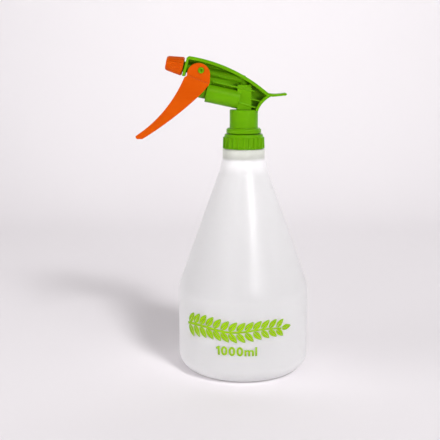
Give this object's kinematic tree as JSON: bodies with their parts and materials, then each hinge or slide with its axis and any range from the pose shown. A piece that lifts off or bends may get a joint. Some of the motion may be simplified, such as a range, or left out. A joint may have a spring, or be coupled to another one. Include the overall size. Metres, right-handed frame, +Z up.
{
  "type": "hand mister",
  "caption": "Trigger spray bottle: a conical translucent bottle with a screwed-on pump head, curved squeeze lever and adjustable mist nozzle.",
  "frame": {"origin": "centre of the bottle's base, on the surface it stands on", "axes": "+Z up along the bottle, the nozzle points to -X, the mirror plane is XZ"},
  "size_m": [0.1438, 0.1096, 0.2631],
  "materials": {
    "bottle_plastic": "translucent natural HDPE",
    "green_plastic": "moulded polypropylene",
    "orange_plastic": "moulded polypropylene",
    "clear_plastic": "natural polyethylene",
    "seal": "soft seal",
    "black_seal": "nitrile ring",
    "spring_steel": "stainless spring wire"
  },
  "bodies": {
    "bottle": {"bottle": "bottle_plastic"},
    "gasket": {"neck_gasket": "seal"},
    "cap": {"screw_cap": "green_plastic"},
    "head": {"sprayer_body": "green_plastic", "tube_connector": "clear_plastic", "connector_seal": "black_seal", "dip_tube": "clear_plastic", "tube_strainer": "clear_plastic", "swirl_insert": "clear_plastic", "piston_spring": "spring_steel", "outlet_spring": "spring_steel"},
    "lever": {"trigger": "orange_plastic"},
    "plunger": {"piston": "green_plastic", "piston_cup": "seal"},
    "inlet_valve": {"inlet_ball": "spring_steel"},
    "outlet_poppet": {"outlet_valve": "clear_plastic"},
    "nozzle_seal": {"nozzle_o_ring": "black_seal"},
    "nozzle": {"nozzle_cap": "orange_plastic"}
  },
  "joints": [
    {"name": "closure_turn", "type": "hinge", "parent": "gasket", "child": "cap", "pos_m": [0, 0, 0.19], "axis": [0, 0, 1], "range_deg": [0, 540]},
    {"name": "head_lift", "type": "slide", "parent": "bottle", "child": "gasket", "axis": [0, 0, 1], "range_m": [0, 0.00634]},
    {"name": "head_swivel", "type": "hinge", "parent": "gasket", "child": "head", "pos_m": [0, 0, 0.2], "axis": [0, 0, 1], "continuous": true},
    {"name": "trigger_squeeze", "type": "hinge", "parent": "head", "child": "lever", "pos_m": [-0.035, 0, 0.25148], "axis": [0, -1, 0], "range_deg": [0, 26], "stiffness_Nm_per_rad": 0.22, "springref_deg": -10.31},
    {"name": "piston_slide", "type": "slide", "parent": "head", "child": "plunger", "axis": [0.9781, 0, -0.2079], "range_m": [0, 0.00749], "deforming": ["piston_spring"]},
    {"name": "inlet_ball_lift", "type": "slide", "parent": "head", "child": "inlet_valve", "axis": [0, 0, 1], "range_m": [0, 0.0016]},
    {"name": "outlet_valve_lift", "type": "slide", "parent": "head", "child": "outlet_poppet", "axis": [-0.9781, 0, 0.2079], "range_m": [0, 0.0008], "stiffness_N_per_m": 60, "springref_m": -0.001, "deforming": ["outlet_spring"]},
    {"name": "nozzle_travel", "type": "slide", "parent": "head", "child": "nozzle_seal", "axis": [-0.9781, 0, 0.2079], "range_m": [0, 0.0024]},
    {"name": "nozzle_turn", "type": "hinge", "parent": "nozzle_seal", "child": "nozzle", "pos_m": [-0.05456, 0, 0.25564], "axis": [-0.9781, 0, 0.2079], "range_deg": [0, 360]}
  ],
  "couplings": [
    {"joint": "closure_turn", "follows": "head_lift", "rad_per_m": 1485.4},
    {"joint": "trigger_squeeze", "follows": "piston_slide", "rad_per_m": 60.578},
    {"joint": "nozzle_turn", "follows": "nozzle_travel", "rad_per_m": 2618}
  ]
}
